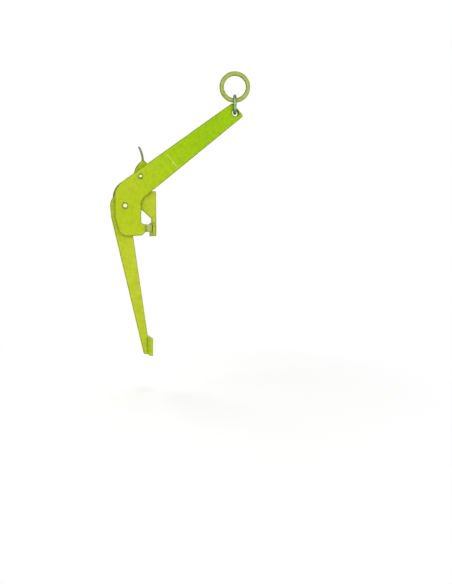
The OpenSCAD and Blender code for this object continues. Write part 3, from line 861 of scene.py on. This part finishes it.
def bead_rings(path, outward, radius, closed):
    lengths = [0.0]
    for before, after in zip(path, path[1:]):
        lengths.append(lengths[-1] + (after - before).length)
    puddles = int(lengths[-1] / PUDDLE) + 2
    sizes = [uneven.uniform(1 - PUDDLE_UNEVEN, 1 + PUDDLE_UNEVEN) for _ in range(puddles)]
    last = len(path) - 1
    rings = []
    for i, (point, out) in enumerate(zip(path, outward)):
        ahead = path[(i + 1) % len(path)] if closed or i < last else point
        behind = path[i - 1] if closed or i > 0 else point
        along = (ahead - behind).normalized()
        side = along.cross(out).normalized()
        phase = (lengths[i] / PUDDLE) % 1.0
        swell = PUDDLE_LOW + PUDDLE_SWELL * (1 - (2 * phase - 1) ** 2)
        room = min(lengths[i], lengths[-1] - lengths[i]) / (END_LONG * radius)
        taper = 1.0 if closed or room >= 1 else math.sqrt(1 - (1 - max(room, END_BLUNT)) ** 2)
        size = radius * swell * sizes[int(lengths[i] / PUDDLE)] * taper
        ring = []
        for k in range(BEAD_SIDES):
            turn = 2 * math.pi * k / BEAD_SIDES
            bow = RIPPLE_BOW * taper * math.sin(turn) ** 2
            ring.append(point + size * (math.cos(turn) * out + math.sin(turn) * side) - bow * along)
        rings.append(ring)
    return rings


def straight_bead(name, start, end, out, radius, body, finish):
    start, end = Vector(start), Vector(end)
    steps = int((end - start).length / PUDDLE * RIPPLE_STEPS)
    path = [start.lerp(end, i / steps) for i in range(steps + 1)]
    outward = [Vector(out).normalized()] * len(path)
    return tube_piece(name, bead_rings(path, outward, radius, False), body, finish)


# %% [markdown]
# The two pads of the frame carry a bead on each side of the plate that they are welded to, and so does
# the jaw bar where the cheeks meet its back. Their corner lines come from the boxes of the loaded
# pieces, and each bead stops a little short of both ends of its line.

# %% Beads on the pads and the jaw bar
HEEL_BEAD, HEEL_FOOT, HEEL_TOP = 0.0042, 0.007, 0.003
HOOK_BEAD, HOOK_STOP = 0.0034, 0.002
JAW_BEAD, JAW_FOOT, JAW_TOP = 0.0030, 0.010, 0.001
SIDES = ((-1, "near"), (1, "far"))
plate_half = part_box("frame_plate")[1].y
cheek_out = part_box("far_cheek")[1].y
cheek_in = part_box("cheek_rod")[1].y
heel_low, heel_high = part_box("heel_pad")
hook_low, hook_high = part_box("hook_pad")
jaw_low, jaw_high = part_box("jaw_bar")


def upright_bead(name, x, y, foot, top, out, radius, body, finish):
    return straight_bead(name, (x, y, foot), (x, y, top), out, radius, body, finish)


beads = []
for side, word in SIDES:
    y = side * plate_half
    heel_bead = upright_bead(
        "heel_weld_" + word, heel_low.x, y, heel_low.z + HEEL_FOOT, heel_high.z - HEEL_TOP,
        (-1, side, 0), HEEL_BEAD, "frame", "lever_paint"
    )
    heel_bead.data.materials[0] = pad_paint
    hook_bead = upright_bead(
        "hook_weld_" + word, hook_high.x, y, hook_low.z + HOOK_STOP, hook_high.z - HOOK_STOP,
        (1, side, 0), HOOK_BEAD, "frame", "leg_paint"
    )
    beads += [heel_bead, hook_bead]
    for face, face_y, lean in (("out", cheek_out, side), ("in", cheek_in, -side)):
        beads.append(upright_bead(
            "jaw_weld_" + face + "_" + word, jaw_low.x, side * face_y, jaw_low.z + JAW_FOOT,
            jaw_high.z - JAW_TOP, (-1, lean, 0), JAW_BEAD, "lever", "olive_paint"
        ))
print("beads on pads and jaw:", len(beads))

# %% [markdown]
# The rod and the spring's stud are round, so their beads run in circles where they meet the cheeks. The
# bead's outward side leans half way between the bar and the plate.

# %% Beads round the rod and the stud
ROD_BEAD = 0.0034
STUD_BEAD = 0.0016


def circle_bead(name, bar_box, y, inward, radius, body, finish):
    bar_low, bar_high = bar_box
    bar_radius = (bar_high.x - bar_low.x) / 2
    centre = (bar_low + bar_high) / 2
    centre.y = y
    steps = int(2 * math.pi * bar_radius / PUDDLE) * RIPPLE_STEPS
    turns = [2 * math.pi * i / steps for i in range(steps)]
    spokes = [Vector((math.cos(turn), 0, math.sin(turn))) for turn in turns]
    path = [centre + bar_radius * spoke for spoke in spokes]
    outward = [(spoke + Vector((0, inward, 0))).normalized() for spoke in spokes]
    return tube_piece(name, bead_rings(path, outward, radius, True), body, finish, closed=True)


rod_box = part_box("cheek_rod")
for side, word in SIDES:
    beads.append(circle_bead(
        "rod_weld_" + word, rod_box, side * cheek_in, -side, ROD_BEAD, "lever", "lever_paint"
    ))
stud_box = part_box("spring_stud")
beads.append(circle_bead("stud_weld", stud_box, stud_box[1].y, -1, STUD_BEAD, "lever", "lever_paint"))
print("beads so far:", len(beads))

# %% [markdown]
# The thumb tab stands on the neck of the pawl, with a short bead across its front and its back.

# %% Beads at the foot of the thumb tab
TAB_BEAD = 0.0022
TAB_THICK = 0.005
FOOT_LIFT = 0.0001
FOOT_STOP = 0.001
FOOT_LEAN = 0.2
tab_low, tab_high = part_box("thumb_tab")
foot_z = tab_low.z + FOOT_LIFT
foot_half = tab_high.y - FOOT_STOP
for x, out, word in ((tab_high.x, 1, "front"), (tab_high.x - TAB_THICK, -1, "back")):
    beads.append(straight_bead(
        "tab_weld_" + word, (x, -foot_half, foot_z), (x, foot_half, foot_z), (out, 0, FOOT_LEAN),
        TAB_BEAD, "latch", "olive_paint"
    ))
print("beads in all:", len(beads))

# %% [markdown]
# ## Closing welds of the link and the ring
# A chain link and a ring are bent from bar and closed by a butt weld, which is ground down but never
# quite vanishes: it leaves a low, slightly uneven swelling round the bar. The swelling is a short tube
# that follows the bar, a little thicker than the bar at its middle and a little thinner at its ends,
# where it sinks into it.

# %% Closing welds
SWELL_SIDES = 28
SWELL_STEPS = 12
SWELL_SINK = 0.0003
SWELL_UNEVEN = 0.12
LUMPS_ROUND, LUMP_HEIGHT, LUMP_TURN = 3, 0.25, 0.7


def swelling_rings(path, bar_radius, rise):
    last = len(path) - 1
    rings = []
    for i, point in enumerate(path):
        along = (path[min(i + 1, last)] - path[max(i - 1, 0)]).normalized()
        across = along.orthogonal().normalized()
        other = along.cross(across)
        crown = math.sin(math.pi * i / last)
        ring = []
        for k in range(SWELL_SIDES):
            turn = 2 * math.pi * k / SWELL_SIDES
            wave = LUMP_HEIGHT * math.sin(LUMPS_ROUND * turn + LUMP_TURN)
            lumps = 1 + wave + uneven.uniform(-SWELL_UNEVEN, SWELL_UNEVEN)
            size = bar_radius - SWELL_SINK + (rise + SWELL_SINK) * crown * lumps
            ring.append(point + size * (math.cos(turn) * across + math.sin(turn) * other))
        rings.append(ring)
    return rings


# %% [markdown]
# The link's weld sits half way up one of its straight sides, and the ring's weld low on its round. Both
# pieces hang turned about the vertical. The ring tilts about an axis in its own plane, square to the
# plane of the link, so that axis gives the turn of both.

# %% Closing welds of the link and the ring
LINK_WIRE = 0.011
LINK_RADIUS = 0.0135
LINK_WELD, LINK_RISE = 0.007, 0.0006
RING_WIRE = 0.014
RING_WELD, RING_RISE = 0.0091, 0.0007
RING_WELD_TURN = math.radians(205)
UP = Vector((0, 0, 1))
steps_along = [i / SWELL_STEPS - 0.5 for i in range(SWELL_STEPS + 1)]
tilt_axis = next(Vector(joint["axis"]) for joint in frame["joints"] if joint["name"] == "ring_tilt")
link_across = UP.cross(tilt_axis)
link_low, link_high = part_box("chain_link")
leg_place = Vector((eye_place.x, 0, (link_low.z + link_high.z) / 2)) - LINK_RADIUS * link_across
link_path = [leg_place + LINK_WELD * step * UP for step in steps_along]
link_rings = swelling_rings(link_path, LINK_WIRE / 2, LINK_RISE)
tube_piece("link_closing_weld", link_rings, "link", "zinc_plate")

ring_low, ring_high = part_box("lifting_ring")
ring_middle = (ring_low + ring_high) / 2
ring_radius = (ring_high.z - ring_low.z - RING_WIRE) / 2
ring_turns = [RING_WELD_TURN + RING_WELD * step / ring_radius for step in steps_along]
ring_path = [
    ring_middle + ring_radius * (math.cos(turn) * tilt_axis + math.sin(turn) * UP) for turn in ring_turns
]
ring_rings = swelling_rings(ring_path, RING_WIRE / 2, RING_RISE)
ring_weld = tube_piece("ring_closing_weld", ring_rings, "ring", "olive_paint")
ring_weld.data.materials[0] = ring_paint
print("ring radius to the middle of its bar:", round(ring_radius, 4), "m")
